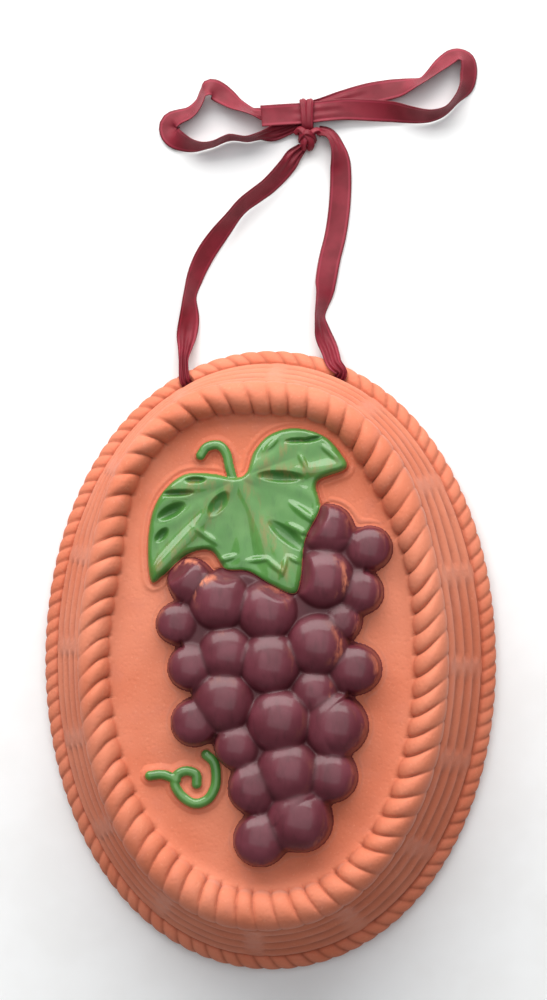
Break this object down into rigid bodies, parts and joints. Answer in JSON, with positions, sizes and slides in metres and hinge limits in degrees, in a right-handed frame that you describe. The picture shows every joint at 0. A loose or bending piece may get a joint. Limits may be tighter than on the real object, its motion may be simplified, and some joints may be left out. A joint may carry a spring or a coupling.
{
  "type": "decorative kitchen mold",
  "caption": "Hollow oval terracotta mold for a kitchen wall, cast as a basket with rope edges round painted grapes and a vine leaf, and hung by a thin satin ribbon tied in a bow.",
  "frame": {"origin": "middle of the oval foot, at the height of the surface that the open back rests on", "axes": "+Y along the long axis towards the top end, where the ribbon is tied, and +Z out of the picture side"},
  "size_m": [0.1302, 0.2672, 0.0415],
  "materials": {
    "terracotta": "unglazed and matt, with painted relief",
    "satin_ribbon": "woven satin"
  },
  "bodies": {
    "root": {"mold": "terracotta", "hanging_ribbon": "satin_ribbon", "bow_ribbon": "satin_ribbon", "ribbon_knot": "satin_ribbon"}
  },
  "joints": []
}
